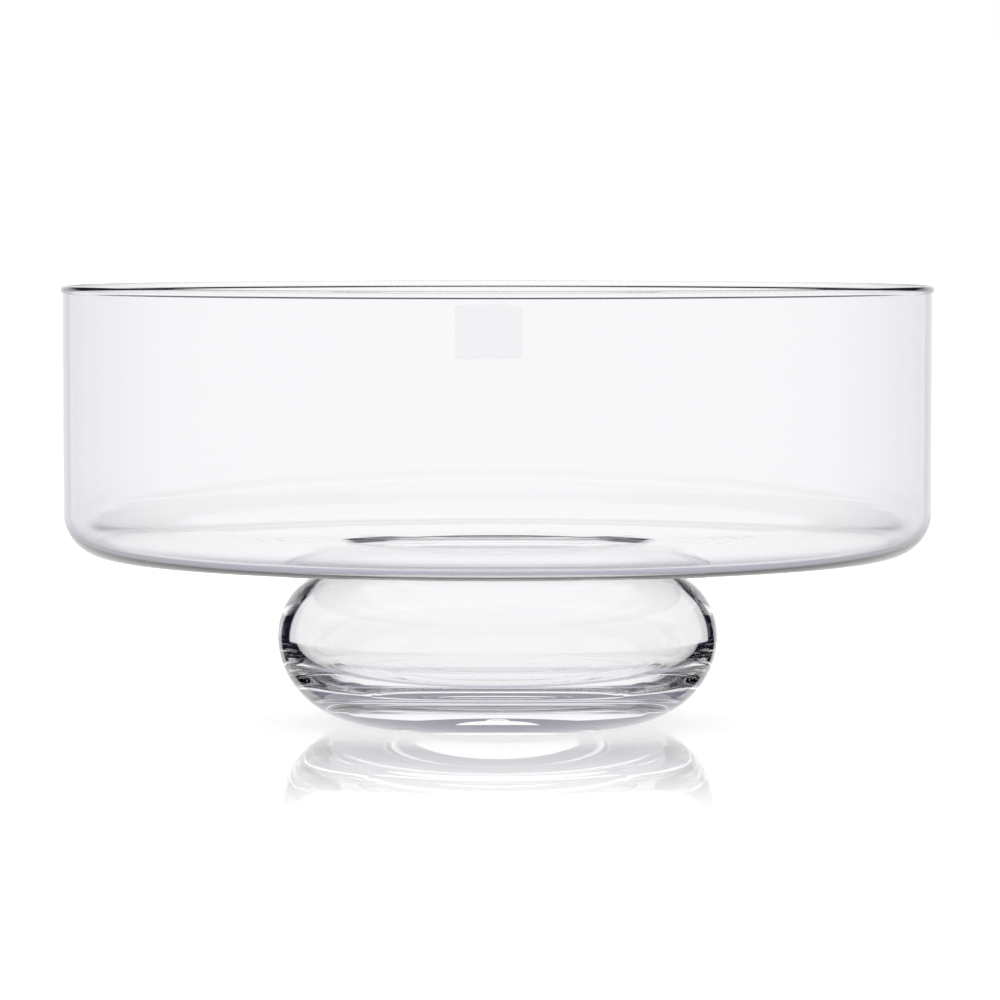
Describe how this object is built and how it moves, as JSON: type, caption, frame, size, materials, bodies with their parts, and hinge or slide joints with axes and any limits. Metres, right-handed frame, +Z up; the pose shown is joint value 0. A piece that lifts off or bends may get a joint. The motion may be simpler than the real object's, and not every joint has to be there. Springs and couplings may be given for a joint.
{
  "type": "footed glass bowl",
  "caption": "Wide straight-sided clear glass bowl on a hollow foot shaped like a flattened ball, for fruit, flowers or floating candles.",
  "frame": {"origin": "centre of the ring that the foot stands on, at table height", "axes": "+Z up the axis that bowl and foot are turned about, -Y towards the label"},
  "size_m": [0.3, 0.3, 0.1513],
  "materials": {
    "clear_glass": "clear, fire-polished",
    "label_film": "white film, satin"
  },
  "bodies": {
    "root": {"bowl": "clear_glass", "foot": "clear_glass", "label": "label_film"}
  },
  "joints": []
}
